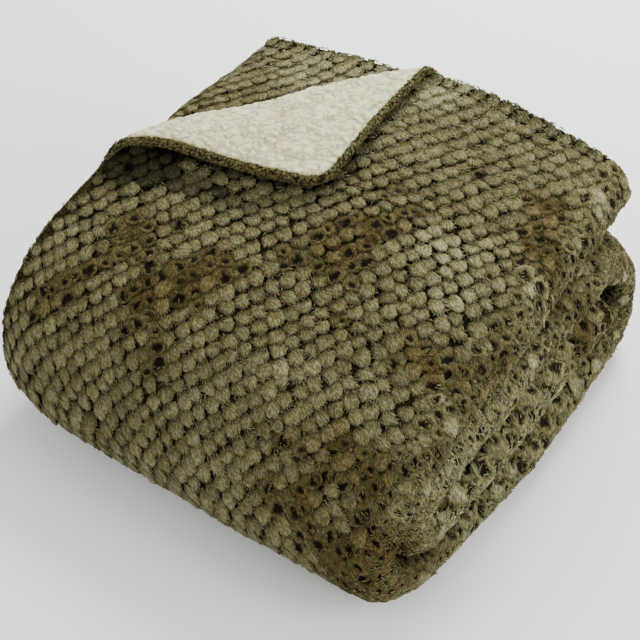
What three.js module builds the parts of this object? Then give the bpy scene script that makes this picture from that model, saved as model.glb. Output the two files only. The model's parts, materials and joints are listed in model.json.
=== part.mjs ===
// A double-faced throw: a popcorn-knit plush face and a curly fleece backing, sewn back to back.
// It is folded over and over into four across its width, and the strip is rolled up in four again.
// The free corner of the top layer is turned back, so that the backing and the hem show.
// Millimetres, +Z up. +X is the side of stacked folds, -Y is the side of the big round fold.
import * as THREE from "three";

// Driving dimensions of the even stack, before it slumps
const BUNDLE_WIDTH = 356;
const BUNDLE_DEPTH = 378;
const FACE_PLY = 3.9;
const BACKING_PLY = 3.9;
const PLY_GAP = 0.4;
const LAYER_GAP = 1.2;
const STRIP_GAP = 0.9;

// The face wraps the backing's edge in a hem: its width, its round rim and its inner step
const HEM = { width: 9, round: 1.5, step: 0.2, clearance: 1.3 };

// The turned-back corner: where its fold line meets each free edge, how round its fold and its
// tip are, how much the top layer lifts towards the fold line and over what share of the corner's
// depth, how far off it the tip rests, how far the corner is skewed along the fold line, and the
// share of its length that it takes up by lying loose
const CORNER = {
  alongWidth: 184,
  alongDepth: 226,
  bendRadius: 7.5,
  tipRadius: 14,
  lift: 2.5,
  liftReach: 0.6,
  rest: 4,
  skew: 20,
  slack: 0.15,
};

// How finely the sheet is divided: the steps of each bend of the two folds and of the corner, the
// places across and along the stack where its flat runs are divided, and how near a corner of a
// cell a cut may pass before it goes through that corner
const CLOTH_BEND_STEPS = [6, 4, 3];
const STRIP_BEND_STEPS = [8, 6, 4];
const CORNER_BEND_STEPS = 8;
const CORNER_FLAP_STEPS = 3;
const WIDTH_STATIONS = [-148, -80, 10, 90];
const DEPTH_STATIONS = [-70, 0, 75];
const SNAP = 1;

// How the soft stack slumps. Its front, the big round fold, sinks from the shoulder onwards, its
// top is domed and falls off towards the sides, and its front and back edges bow, the back one
// from one share of the half width to another.
const SLUMP = {
  shoulder: 50,
  frontSag: 0.4,
  frontPower: 1.75,
  dome: 0.035,
  sideSag: 0.07,
  sidePower: 4,
  frontBow: -3,
  backBow: 8,
  backBowFrom: -0.8,
  backBowTo: 0.3,
};

// How far each corner of the plan is drawn in, as a share of its half width and depth, and how
// sharply towards the corner
const CORNER_DRAW = { frontLeft: 0.085, frontRight: 0.01, backLeft: 0, backRight: 0.02, power: 6 };

// How far out the stack's sides lie at each of its levels, off the even stack. Level 0 is the
// bottom of the stack and 4 its top. The folds of the +X side are given from front to back.
const SIDES = [
  { level: 0.5, front: -6, middle: 10, back: 2, left: -2 },
  { level: 1.5, front: -6, middle: 2, back: -1, left: 4 },
  { level: 2.5, front: -12, middle: -8, back: -10, left: 12 },
  { level: 3.5, front: -12, middle: -14, back: -25, left: 18 },
];

const clothThickness = FACE_PLY + PLY_GAP + BACKING_PLY;
const layerPitch = clothThickness + LAYER_GAP;
const stripPitch = 4 * layerPitch + STRIP_GAP;
const underside = (LAYER_GAP + STRIP_GAP) / 2;
const stackHeight = 4 * stripPitch - 2 * underside;
const { clamp, smoothstep, lerp } = THREE.MathUtils;

// A cloth folded over and over into four runs. Its free end lies on top, and every bend turns
// the same way, so the outer face stays outside. The runs share their stations, and so their
// faces stay parallel.
function rollFold(span, pitch, stations, bendSteps) {
  const far = span / 2 - 2 * pitch;
  const near = 1.5 * pitch - span / 2;
  const run = (from, to, height) => ({ from, to, height, length: Math.abs(to - from) });
  const bend = (centre, height, radius, start, steps) =>
    ({ centre, height, radius, start, steps, length: Math.PI * radius });
  const stretches = [
    run(-span / 2, far, 1.5 * pitch),
    bend(far, 0, 1.5 * pitch, Math.PI / 2, bendSteps[0]),
    run(far, near, -1.5 * pitch),
    bend(near, -pitch / 2, pitch, -Math.PI / 2, bendSteps[1]),
    run(near, far, pitch / 2),
    bend(far, 0, pitch / 2, Math.PI / 2, bendSteps[2]),
    run(far, near + LAYER_GAP, -pitch / 2),
  ];
  const lines = [];
  let length = 0;
  for (const stretch of stretches) {
    stretch.at = length;
    lines.push(length);
    if (stretch.radius) {
      for (let i = 1; i < stretch.steps; i += 1) lines.push(length + (stretch.length * i) / stretch.steps);
    } else {
      const marks = [near, ...stations].map((station) => Math.abs(station - stretch.from));
      const inside = marks.filter((mark) => mark > HEM.round && mark < stretch.length - HEM.round);
      lines.push(...inside.sort((a, b) => a - b).map((mark) => length + mark));
    }
    length += stretch.length;
  }
  const place = (distance, offset) => {
    const stretch = stretches.findLast((each) => distance >= each.at) ?? stretches[0];
    const gone = distance - stretch.at;
    if (stretch.radius) {
      const angle = stretch.start - gone / stretch.radius;
      const reach = stretch.radius + offset;
      return [stretch.centre + reach * Math.cos(angle), stretch.height + reach * Math.sin(angle)];
    }
    const heading = Math.sign(stretch.to - stretch.from);
    return [stretch.from + heading * gone, stretch.height + heading * offset];
  };
  const edge = 2 * HEM.width;
  const inner = lines.filter((line) => line > edge && line < length - edge);
  return { length, inner, place, topRun: stretches[0].length };
}

const across = rollFold(BUNDLE_WIDTH, layerPitch, WIDTH_STATIONS, CLOTH_BEND_STEPS);
const along = rollFold(BUNDLE_DEPTH, stripPitch, DEPTH_STATIONS, STRIP_BEND_STEPS);

// The turned-back corner, in the flat sheet. How far a point lies past the fold line, and the
// direction, seen from above, in which the fold carries it.
const cornerDepth =
  (CORNER.alongWidth * CORNER.alongDepth) / Math.hypot(CORNER.alongWidth, CORNER.alongDepth);
const cornerDirection = new THREE.Vector2(-CORNER.alongDepth, CORNER.alongWidth).normalize();
const foldLineDirection = new THREE.Vector2(-CORNER.alongWidth, -CORNER.alongDepth).normalize();
const bendLength = Math.PI * CORNER.bendRadius;

function pastFoldLine(u, v) {
  return cornerDepth * (1 - u / CORNER.alongWidth - v / CORNER.alongDepth);
}

// The sheet's free corner is round. A point near it is drawn in from the square onto the disc.
function roundedCorner(u, v) {
  const fromU = CORNER.tipRadius - u;
  const fromV = CORNER.tipRadius - v;
  if (fromU <= 0 || fromV <= 0) return [u, v];
  const drawn = Math.max(fromU, fromV) / Math.hypot(fromU, fromV);
  return [CORNER.tipRadius - fromU * drawn, CORNER.tipRadius - fromV * drawn];
}

// The place in the even stack of a point of the flat sheet, u across and v along it, off the
// sheet's middle by the offset
function foldedPlace(flatU, flatV, offset) {
  const [u, v] = roundedCorner(flatU, flatV);
  const [x, rise] = across.place(u, offset);
  const [y, z] = along.place(v, rise);
  const place = new THREE.Vector3(x, -y, z + stackHeight / 2);
  if (u > across.topRun || v > along.topRun) return place;
  const past = pastFoldLine(u, v);
  place.z += CORNER.lift * smoothstep(past, -CORNER.liftReach * cornerDepth, 0);
  if (past <= 0) return place;
  const angle = Math.min(past / CORNER.bendRadius, Math.PI);
  const flat = Math.max(past - bendLength, 0);
  const reach = CORNER.bendRadius - offset;
  const settled = smoothstep(flat, 0, cornerDepth - bendLength);
  const drop = settled * (2 * CORNER.bendRadius - clothThickness - CORNER.rest);
  const moved = reach * Math.sin(angle) - flat * (1 - CORNER.slack) - past;
  const skewed = CORNER.skew * (past / cornerDepth);
  place.x += cornerDirection.x * moved + foldLineDirection.x * skewed;
  place.y += cornerDirection.y * moved + foldLineDirection.y * skewed;
  place.z += reach * (1 - Math.cos(angle)) - drop;
  return place;
}

// A value of the sides' table at a height in the stack, eased from level to level
function sideShift(level, pick) {
  const above = SIDES.findIndex((row) => row.level > level);
  if (above === 0) return pick(SIDES[0]);
  if (above < 0) return pick(SIDES.at(-1));
  const share = smoothstep(level, SIDES[above - 1].level, SIDES[above].level);
  return lerp(pick(SIDES[above - 1]), pick(SIDES[above]), share);
}

// The slump of the soft stack, from its even folds to the shape in which it lies
function slump({ x, y, z }) {
  const side = (2 * x) / BUNDLE_WIDTH;
  const end = (2 * y) / BUNDLE_DEPTH;
  const right = smoothstep(side, -1, 1);
  const back = smoothstep(end, -1, 1);
  const draw = lerp(
    lerp(CORNER_DRAW.frontLeft, CORNER_DRAW.frontRight, right),
    lerp(CORNER_DRAW.backLeft, CORNER_DRAW.backRight, right),
    back,
  );
  const level = clamp((4 * z) / stackHeight, 0, 4);
  const onRight = sideShift(level, (row) =>
    end < 0 ? lerp(row.front, row.middle, 1 + end) : lerp(row.middle, row.back, end));
  const onLeft = -sideShift(level, (row) => row.left);
  const fromShoulder = clamp((SLUMP.shoulder - y) / (SLUMP.shoulder + BUNDLE_DEPTH / 2), 0, 1);
  const sag = 1 - SLUMP.frontSag * fromShoulder ** SLUMP.frontPower;
  const dome = (1 + SLUMP.dome * (1 - side ** 2)) * (1 - SLUMP.sideSag * side ** SLUMP.sidePower);
  const backBow = SLUMP.backBow * smoothstep(side, SLUMP.backBowFrom, SLUMP.backBowTo);
  const bow = (1 - side ** 2) * lerp(SLUMP.frontBow, backBow, back);
  return new THREE.Vector3(
    x * (1 - draw * end ** CORNER_DRAW.power) + lerp(onLeft, onRight, right),
    y * (1 - draw * side ** CORNER_DRAW.power) + bow * end ** 2,
    z * sag * dome,
  );
}

// The flat sheet as cells between the lines across and along it, with the hem's lines at its
// free edges or, for the backing, a plain edge inside the hem. The turned corner's cells are cut
// again along its bend and its flap.
function sheetCells(inset) {
  const rim = inset ? [inset] : [0, HEM.round, HEM.width, HEM.width + HEM.step];
  const edged = (fold) => [...rim, ...fold.inner, ...rim.map((line) => fold.length - line).reverse()];
  const uLines = edged(across);
  const vLines = edged(along);
  let cells = [];
  for (let i = 0; i + 1 < uLines.length; i += 1) {
    for (let j = 0; j + 1 < vLines.length; j += 1) {
      const corners = [[i, j], [i + 1, j], [i + 1, j + 1], [i, j + 1]];
      cells.push(corners.map(([a, b]) => [uLines[a], vLines[b]]));
    }
  }
  for (let i = 0; i <= CORNER_BEND_STEPS; i += 1) {
    cells = cutCells(cells, (bendLength * i) / CORNER_BEND_STEPS);
  }
  for (let i = 1; i < CORNER_FLAP_STEPS; i += 1) {
    cells = cutCells(cells, lerp(bendLength, cornerDepth, i / CORNER_FLAP_STEPS));
  }
  return cells;
}

// The cells, with each that crosses the line at a depth past the fold line cut in two along it
function cutCells(cells, depth) {
  return cells.flatMap((cell) => {
    const past = cell.map(([u, v]) => pastFoldLine(u, v) - depth);
    const sides = past.map((distance) => (Math.abs(distance) < SNAP ? 0 : Math.sign(distance)));
    if (!sides.includes(1) || !sides.includes(-1)) return [cell];
    const before = [];
    const after = [];
    cell.forEach((corner, k) => {
      const next = (k + 1) % cell.length;
      if (sides[k] <= 0) before.push(corner);
      if (sides[k] >= 0) after.push(corner);
      if (sides[k] * sides[next] < 0) {
        const share = past[k] / (past[k] - past[next]);
        const crossing = corner.map((value, axis) => lerp(value, cell[next][axis], share));
        before.push(crossing);
        after.push(crossing);
      }
    });
    return [before, after];
  });
}

// A ply of the sheet as a closed solid. Its outer and inner faces are the same cells, at the
// offsets that the two functions give, joined round the free edge.
function plySolid(cells, outer, inner) {
  const points = [];
  const numbers = new Map();
  const numbered = cells.map((cell) => cell.map(([u, v]) => {
    const key = `${u.toFixed(2)} ${v.toFixed(2)}`;
    if (!numbers.has(key)) numbers.set(key, points.push([u, v]) - 1);
    return numbers.get(key);
  }));
  const place = (offset) => ([u, v]) => slump(foldedPlace(u, v, offset(u, v))).toArray();
  const positions = [...points.map(place(outer)), ...points.map(place(inner))];
  const lower = points.length;
  const index = [];
  const edges = new Map();
  for (const cell of numbered) {
    const [first, , third] = cell.map((number) => positions[number]);
    const rising = (third[0] - first[0]) * (third[1] - first[1]) > 0;
    const fan = rising ? cell : [...cell.slice(1), cell[0]];
    for (let k = 1; k + 1 < fan.length; k += 1) {
      index.push(fan[0], fan[k + 1], fan[k]);
      index.push(fan[0] + lower, fan[k] + lower, fan[k + 1] + lower);
    }
    cell.forEach((from, k) => {
      const to = cell[(k + 1) % cell.length];
      if (edges.has(`${to} ${from}`)) edges.delete(`${to} ${from}`);
      else edges.set(`${from} ${to}`, [from, to]);
    });
  }
  for (const [from, to] of edges.values()) {
    index.push(from, to, to + lower, from, to + lower, from + lower);
  }
  const geometry = new THREE.BufferGeometry();
  geometry.setAttribute("position", new THREE.Float32BufferAttribute(positions.flat(), 3));
  geometry.setIndex(index);
  geometry.computeVertexNormals();
  return geometry;
}

const half = clothThickness / 2;

// How near a point of the sheet is to its free edge
function edgeDistance(u, v) {
  return Math.min(u, v, across.length - u, along.length - v);
}

function faceSolid() {
  const rounded = (u, v) => (edgeDistance(u, v) < HEM.round / 2 ? half / 2 : half);
  const hemEnd = HEM.width + HEM.step / 2;
  const wrapped = (u, v) => (edgeDistance(u, v) < hemEnd ? -rounded(u, v) : half - FACE_PLY);
  return plySolid(sheetCells(0), rounded, wrapped);
}

function backingSolid() {
  const inset = HEM.width + HEM.step + HEM.clearance;
  return plySolid(sheetCells(inset), () => BACKING_PLY - half, () => -half);
}

const throwCloth = new THREE.Group();

const face = new THREE.Mesh(
  faceSolid(),
  new THREE.MeshStandardMaterial({ color: 0x7b7a5c, roughness: 0.95, metalness: 0 }),
);
face.name = "face_panel";
throwCloth.add(face);

const backing = new THREE.Mesh(
  backingSolid(),
  new THREE.MeshStandardMaterial({ color: 0xdad6c8, roughness: 1, metalness: 0 }),
);
backing.name = "backing_panel";
throwCloth.add(backing);

// The origin is the middle of the bottom
const bounds = new THREE.Box3().setFromObject(throwCloth);
for (const panel of throwCloth.children) {
  panel.geometry.translate(
    -(bounds.min.x + bounds.max.x) / 2,
    -(bounds.min.y + bounds.max.y) / 2,
    -bounds.min.z,
  );
}

export default throwCloth;
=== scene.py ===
# A double-faced throw, folded into a thick bundle: popcorn-knit plush outside, curly fleece inside.
# It is folded over and over into four across its width, and the strip is rolled up in four again.
# The free corner of the top layer is turned back, so that the fleece and the hem show.
import json
import math
import random

import bmesh
import bpy
import numpy as np
from mathutils import Matrix, Vector, noise
from mathutils.bvhtree import BVHTree

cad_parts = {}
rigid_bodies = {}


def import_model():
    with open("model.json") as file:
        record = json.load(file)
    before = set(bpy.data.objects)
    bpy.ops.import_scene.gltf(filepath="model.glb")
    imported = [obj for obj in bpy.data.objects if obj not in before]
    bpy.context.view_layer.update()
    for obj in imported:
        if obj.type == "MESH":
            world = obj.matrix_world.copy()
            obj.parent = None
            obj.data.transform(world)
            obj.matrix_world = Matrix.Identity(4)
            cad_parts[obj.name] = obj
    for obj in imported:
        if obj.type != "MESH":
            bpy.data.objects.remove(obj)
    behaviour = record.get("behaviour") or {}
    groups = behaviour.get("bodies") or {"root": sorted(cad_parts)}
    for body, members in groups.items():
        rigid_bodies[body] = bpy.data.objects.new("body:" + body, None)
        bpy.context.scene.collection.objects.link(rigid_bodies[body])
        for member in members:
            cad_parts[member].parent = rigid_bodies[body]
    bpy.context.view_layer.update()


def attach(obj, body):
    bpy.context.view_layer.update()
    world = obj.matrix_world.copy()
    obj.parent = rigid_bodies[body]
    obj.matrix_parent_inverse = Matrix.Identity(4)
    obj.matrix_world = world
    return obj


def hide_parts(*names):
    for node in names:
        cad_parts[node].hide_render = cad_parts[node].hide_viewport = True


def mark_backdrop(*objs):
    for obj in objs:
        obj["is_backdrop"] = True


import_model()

MM = 0.001

# Sizes of the even stack before it slumps, in millimetres: those of the solids
BUNDLE_WIDTH = 356
BUNDLE_DEPTH = 378
PLY = 3.9
PLY_GAP = 0.4
LAYER_GAP = 1.2
STRIP_GAP = 0.9
HALF = PLY + PLY_GAP / 2
LAYER_PITCH = 2 * HALF + LAYER_GAP
STRIP_PITCH = 4 * LAYER_PITCH + STRIP_GAP
UNDERSIDE = (LAYER_GAP + STRIP_GAP) / 2
STACK_HEIGHT = 4 * STRIP_PITCH - 2 * UNDERSIDE

# The middle of the slumped bundle's plan, which is the origin, and the height of its lowest cloth
MIDDLE = (-4.895, 2.533)
LOWEST = 0.2

CORNER = dict(
    along_width=184, along_depth=226, bend_radius=7.5, tip_radius=20, lift=2.5,
    lift_reach=0.6, rest=4, skew=20, slack=0.15, arch=6, arch_width=60, arch_depth=85,
)
SLUMP = dict(
    shoulder=50, front_sag=0.4, front_power=1.75, dome=0.035, side_sag=0.07, side_power=4,
    front_bow=-3, back_bow=8, back_bow_from=-0.8, back_bow_to=0.3,
)
CORNER_DRAW = dict(front_left=0.085, front_right=0.01, back_left=0, back_right=0.02, power=6)
SIDES = [
    dict(level=0.5, front=-6, middle=10, back=2, left=-2),
    dict(level=1.5, front=-6, middle=2, back=-1, left=4),
    dict(level=2.5, front=-12, middle=-8, back=-10, left=12),
    dict(level=3.5, front=-12, middle=-14, back=-25, left=18),
]

# Where the cloths' woven grounds lie, off the middle of the double sheet, and how thick they are
FACE_GROUND = 0.9
HEM_LOFT = 3
BACKING_LOFT = -3.4
CLOTH = 0.8

# How much of the face is turned in behind its hem and how far that end sinks, how far inside the
# hem the face comes down to its own ground, and how far inside the edge the backing starts, how
# it lies there and over which distances it reaches its own ground
HEM_TURN = 2
HEM_SINK = 1.2
HEM_SLOPE = 7
BACKING_INSET = 3.2
BACKING_EDGE_LOFT = -1.2
BACKING_SLOPE = (3.4, 6.5)

# The popcorn rows: from tuft to tuft in a row, from row to row, and how far each row is shifted
# against the one before, as a share of the pitch
TUFT_PITCH = 14.2
ROW_PITCH = 10.3
ROW_SHIFT = 0.6

# How far the tufts' pile is combed from the length of the cloth towards its width, as an angle
COMBED_HEADING = 0.95


def smooth(value, low, high):
    share = np.clip((value - low) / (high - low), 0, 1)
    return share * share * (3 - 2 * share)


def mixed(low, high, share):
    return low + (high - low) * share


def roll_fold(span, pitch):
    """A cloth folded over and over into four runs, its free end on top."""
    far = span / 2 - 2 * pitch
    near = 1.5 * pitch - span / 2
    stretches = [
        dict(run=(-span / 2, far), height=1.5 * pitch),
        dict(centre=(far, 0), radius=1.5 * pitch, start=math.pi / 2),
        dict(run=(far, near), height=-1.5 * pitch),
        dict(centre=(near, -pitch / 2), radius=pitch, start=-math.pi / 2),
        dict(run=(near, far), height=pitch / 2),
        dict(centre=(far, 0), radius=pitch / 2, start=math.pi / 2),
        dict(run=(far, near + LAYER_GAP), height=-pitch / 2),
    ]
    length = 0
    for stretch in stretches:
        stretch["at"] = length
        if "run" in stretch:
            stretch["length"] = abs(stretch["run"][1] - stretch["run"][0])
        else:
            stretch["length"] = math.pi * stretch["radius"]
        length += stretch["length"]
    return dict(stretches=stretches, length=length, top_run=stretches[1]["at"])


ACROSS = roll_fold(BUNDLE_WIDTH, LAYER_PITCH)
ALONG = roll_fold(BUNDLE_DEPTH, STRIP_PITCH)


def rolled(fold, distance, offset):
    """The place in a fold's section of points at a distance along it, off it by the offset."""
    along = np.zeros_like(distance)
    height = np.zeros_like(distance)
    ends = [stretch["at"] for stretch in fold["stretches"][1:]] + [np.inf]
    begin = -np.inf
    for stretch, end in zip(fold["stretches"], ends):
        here = (distance >= begin) & (distance < end)
        gone = distance[here] - stretch["at"]
        if "run" in stretch:
            heading = np.sign(stretch["run"][1] - stretch["run"][0])
            along[here] = stretch["run"][0] + heading * gone
            height[here] = stretch["height"] + heading * offset[here]
        else:
            angle = stretch["start"] - gone / stretch["radius"]
            reach = stretch["radius"] + offset[here]
            along[here] = stretch["centre"][0] + reach * np.cos(angle)
            height[here] = stretch["centre"][1] + reach * np.sin(angle)
        begin = end
    return along, height


# The turned-back corner: the length and heading of its fold line, how far the corner reaches past
# it and which way, and the cloth that its bend takes
fold_line = math.hypot(CORNER["along_width"], CORNER["along_depth"])
fold_line_heading = np.array([-CORNER["along_width"], -CORNER["along_depth"]]) / fold_line
corner_depth = CORNER["along_width"] * CORNER["along_depth"] / fold_line
corner_heading = np.array([-CORNER["along_depth"], CORNER["along_width"]]) / fold_line
bend_length = math.pi * CORNER["bend_radius"]


def past_fold_line(u, v):
    """How far points of the flat sheet lie past the fold line of the turned-back corner."""
    return corner_depth * (1 - u / CORNER["along_width"] - v / CORNER["along_depth"])


def folded(u, v, offset):
    """The place in the even stack of points of the flat sheet."""
    x, rise = rolled(ACROSS, u, offset)
    y, z = rolled(ALONG, v, rise)
    y = -y
    z = z + STACK_HEIGHT / 2
    top = (u <= ACROSS["top_run"]) & (v <= ALONG["top_run"])
    past = np.where(top, past_fold_line(u, v), -corner_depth)
    z = z + CORNER["lift"] * smooth(past, -CORNER["lift_reach"] * corner_depth, 0)
    past = np.maximum(past, 0)
    angle = np.minimum(past / CORNER["bend_radius"], math.pi)
    flat = np.maximum(past - bend_length, 0)
    reach = CORNER["bend_radius"] - offset
    settled = smooth(flat, 0, corner_depth - bend_length)
    drop = settled * (2 * CORNER["bend_radius"] - 2 * HALF - CORNER["rest"])
    arched = CORNER["arch"] * smooth(u, CORNER["arch_width"], 0)
    arched = arched * np.sin(math.pi * np.clip(past / CORNER["arch_depth"], 0, 1)) ** 2
    moved = reach * np.sin(angle) - flat * (1 - CORNER["slack"]) - past
    skewed = CORNER["skew"] * (past / corner_depth)
    x = x + corner_heading[0] * moved + fold_line_heading[0] * skewed
    y = y + corner_heading[1] * moved + fold_line_heading[1] * skewed
    z = z + np.where(past > 0, reach * (1 - np.cos(angle)) - drop + arched, 0)
    return x, y, z


def side_shift(level, value):
    """The sideways shift at each level of the stack, from a value of each row of SIDES."""
    shift = value(SIDES[0])
    for low, high in zip(SIDES, SIDES[1:]):
        shift = shift + (value(high) - value(low)) * smooth(level, low["level"], high["level"])
    return shift


def slumped(x, y, z):
    """The slump of the soft stack, from its even folds to the shape in which it lies."""
    side = 2 * x / BUNDLE_WIDTH
    end = 2 * y / BUNDLE_DEPTH
    right = smooth(side, -1, 1)
    back = smooth(end, -1, 1)
    draw = mixed(
        mixed(CORNER_DRAW["front_left"], CORNER_DRAW["front_right"], right),
        mixed(CORNER_DRAW["back_left"], CORNER_DRAW["back_right"], right),
        back,
    )
    level = np.clip(4 * z / STACK_HEIGHT, 0, 4)
    on_right = side_shift(level, lambda row: np.where(
        end < 0,
        mixed(row["front"], row["middle"], 1 + end),
        mixed(row["middle"], row["back"], end),
    ))
    on_left = -side_shift(level, lambda row: np.full_like(end, row["left"]))
    from_shoulder = np.clip((SLUMP["shoulder"] - y) / (SLUMP["shoulder"] + BUNDLE_DEPTH / 2), 0, 1)
    sag = 1 - SLUMP["front_sag"] * from_shoulder ** SLUMP["front_power"]
    dome = (1 + SLUMP["dome"] * (1 - side ** 2)) * (
        1 - SLUMP["side_sag"] * side ** SLUMP["side_power"]
    )
    back_bow = SLUMP["back_bow"] * smooth(side, SLUMP["back_bow_from"], SLUMP["back_bow_to"])
    bow = (1 - side ** 2) * mixed(SLUMP["front_bow"], back_bow, back)
    return (
        x * (1 - draw * np.abs(end) ** CORNER_DRAW["power"]) + mixed(on_left, on_right, right),
        y * (1 - draw * np.abs(side) ** CORNER_DRAW["power"]) + bow * end ** 2,
        z * sag * dome,
    )


# Soft hollows and ridges of the resting cloth, seen from above: where each starts and ends, how
# wide it is and how high, all in millimetres
CREASES = [
    ((-150, -20), (40, 60), 26, -2.2),
    ((-60, -110), (110, -20), 22, -1.8),
    ((60, 40), (170, 120), 20, -2.0),
    ((90, -60), (150, 90), 24, 1.8),
    ((-120, -120), (-20, -60), 26, 1.6),
    ((20, -150), (150, -110), 20, -1.6),
]

# Slow waves through the stack, up and down and sideways: how high each is in millimetres, over
# which length across, along and up it turns by one radian, and at which angle it starts
WAVES = [(1.3, (31, 47, 23), 0), (0.9, (19, -26, math.inf), 1.3)]
SWAYS = [(1.2, (math.inf, 29, 17), 0.4), (0.8, (math.inf, 16, -21), 0)]

# Between which distances from the middle the sway grows, and its share along the bundle's depth
SWAY_RANGE = (60, 150)
SWAY_ALONG = 0.8


def spread(points, patches):
    """The effect of soft patches or creases at each point, fading away from their middle lines.

    A patch is given by the start and end of that line, its reach and its strength.
    """
    total = np.zeros(len(points))
    for start, end, reach, strength in patches:
        run = np.subtract(end, start)
        share = np.clip(((points - start) @ run) / (run @ run), 0, 1)
        aside = np.linalg.norm(points - start - share[:, None] * run, axis=1)
        total += strength * np.exp(-((aside / reach) ** 2))
    return total


def waved(x, y, z, waves):
    return sum(
        size * np.sin(x / across + y / along + z / up + start)
        for size, (across, along, up), start in waves
    )


def rumpled(x, y, z):
    """The cloth's own unevenness: slow waves through the stack and the creases of its top."""
    sway = waved(x, y, z, SWAYS)
    lift = np.clip(z / STACK_HEIGHT, 0, 1)
    raised = spread(np.stack([x, y], -1), CREASES)
    return (
        x + sway * smooth(np.abs(x), *SWAY_RANGE) * lift,
        y + SWAY_ALONG * sway * smooth(np.abs(y), *SWAY_RANGE) * lift,
        z + waved(x, y, z, WAVES) * lift + raised * lift ** 2,
    )


def placed(u, v, offset):
    """Where points of the flat sheet lie in the bundle, in metres."""
    u, v, offset = (np.asarray(each, float) for each in np.broadcast_arrays(u, v, offset))
    x, y, z = rumpled(*slumped(*folded(u, v, offset)))
    return np.stack([x - MIDDLE[0], y - MIDDLE[1], np.maximum(z, LOWEST)], -1) * MM


def beyond_hem(ring, raised):
    """How far from the free edge, and how far off the sheet's middle, a point of the face lies.

    The cut cloth runs from its turned-in end over the underside, round the rim and over the top.
    """
    angle = np.clip(-ring / HEM_LOFT, 0, math.pi)
    turned = np.maximum(-ring - math.pi * HEM_LOFT, 0)
    reach = HEM_LOFT + raised - HEM_SINK * smooth(turned, 0, HEM_TURN)
    inward = HEM_LOFT - reach * np.sin(angle) + turned + np.maximum(ring, 0)
    ground = mixed(HEM_LOFT, FACE_GROUND, smooth(ring, 0, HEM_SLOPE))
    return inward, np.where(ring > 0, ground + raised, reach * np.cos(angle))


HEM_CUT = math.pi * HEM_LOFT + HEM_TURN
FACE_CUT = [fold["length"] + 2 * (HEM_CUT - HEM_LOFT) for fold in (ACROSS, ALONG)]


def face_place(cut_u, cut_v, raised=0):
    """Where points of the cut face lie: its four edges wrap the backing in a hem."""
    near_u, near_v = cut_u < FACE_CUT[0] / 2, cut_v < FACE_CUT[1] / 2
    ring_u = np.minimum(cut_u, FACE_CUT[0] - cut_u) - HEM_CUT
    ring_v = np.minimum(cut_v, FACE_CUT[1] - cut_v) - HEM_CUT
    ring = np.minimum(ring_u, ring_v)
    inward, loft = beyond_hem(ring, raised)
    corner = CORNER["tip_radius"] - HEM_LOFT
    round_corner = (ring_u < corner) & (ring_v < corner)
    turn = (corner - np.maximum(ring_u, ring_v)) / np.maximum(corner - ring, 1e-6)
    radius = (CORNER["tip_radius"] - inward) / np.hypot(1, turn)
    lesser = np.where(round_corner, CORNER["tip_radius"] - radius, inward)
    greater = np.where(
        round_corner, CORNER["tip_radius"] - radius * turn, np.maximum(ring_u, ring_v) + HEM_LOFT
    )
    from_u = np.where(ring_u <= ring_v, lesser, greater)
    from_v = np.where(ring_u <= ring_v, greater, lesser)
    u = np.where(near_u, from_u, ACROSS["length"] - from_u)
    v = np.where(near_v, from_v, ALONG["length"] - from_v)
    return placed(u, v, loft)


# The fewest steps in which a bend is divided
BEND_STEPS = 6


def fold_lines(fold, longest):
    """Where a sheet is divided along a fold, in steps of at most the longest."""
    lines = []
    for stretch in fold["stretches"]:
        steps = math.ceil(stretch["length"] / longest)
        if "radius" in stretch:
            steps = max(steps, BEND_STEPS)
        lines += [stretch["at"] + stretch["length"] * step / steps for step in range(steps)]
    return lines + [fold["length"]]


def sheet_lines(edge, longest, margin, beyond=0):
    """Where a sheet is divided across and along: by the lines of its edge and, inside, by its folds.

    The sheet may go on beyond the folded length, on both sides.
    """
    for fold in (ACROSS, ALONG):
        inner = [line for line in fold_lines(fold, longest) if margin < line < fold["length"] - margin]
        far = [fold["length"] + 2 * beyond - line for line in reversed(edge)]
        yield edge + [line + beyond for line in inner] + far


def flat_sheet(u_lines, v_lines):
    """A flat grid, divided at the lines across and along it."""
    bm = bmesh.new()
    bmesh.ops.create_grid(bm, x_segments=len(u_lines) - 1, y_segments=len(v_lines) - 1, size=1)
    for vert in bm.verts:
        for axis, lines in enumerate((u_lines, v_lines)):
            step = (vert.co[axis] + 1) / 2 * (len(lines) - 1)
            vert.co[axis] = np.interp(step, range(len(lines)), lines)
    return bm


def divided(bm, chosen):
    """Each chosen face cut in four."""
    edges = list({edge for face in chosen for edge in face.edges})
    bmesh.ops.subdivide_edges(bm, edges=edges, cuts=1, use_grid_fill=True)


def flat_places(bm):
    return np.array([vert.co[:] for vert in bm.verts]).T


def mesh_of(bm, name, material):
    """A smooth mesh in its material, made from a bmesh that is done with."""
    for face in bm.faces:
        face.smooth = True
    mesh = bpy.data.meshes.new(name)
    bm.to_mesh(mesh)
    bm.free()
    mesh.materials.append(material)
    return mesh


def in_scene(name, data):
    piece = bpy.data.objects.new(name, data)
    bpy.context.scene.collection.objects.link(piece)
    return piece


def finished(name, bm, places, material):
    """The sheet at its places in the bundle, thickened inwards, with its flat place as its UV map."""
    flat = flat_places(bm)
    mesh = mesh_of(bm, name, material)
    mesh.vertices.foreach_set("co", np.asarray(places, np.float32).ravel())
    corners = np.empty(len(mesh.loops), np.int32)
    mesh.loops.foreach_get("vertex_index", corners)
    uv = mesh.uv_layers.new(name="flat")
    uv.data.foreach_set("uv", np.ascontiguousarray(flat[:2, corners].T * MM, np.float32).ravel())
    mesh.update()
    piece = in_scene(name, mesh)
    solidify = piece.modifiers.new("cloth", "SOLIDIFY")
    solidify.thickness = CLOTH * MM
    solidify.offset = -1
    return piece


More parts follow.
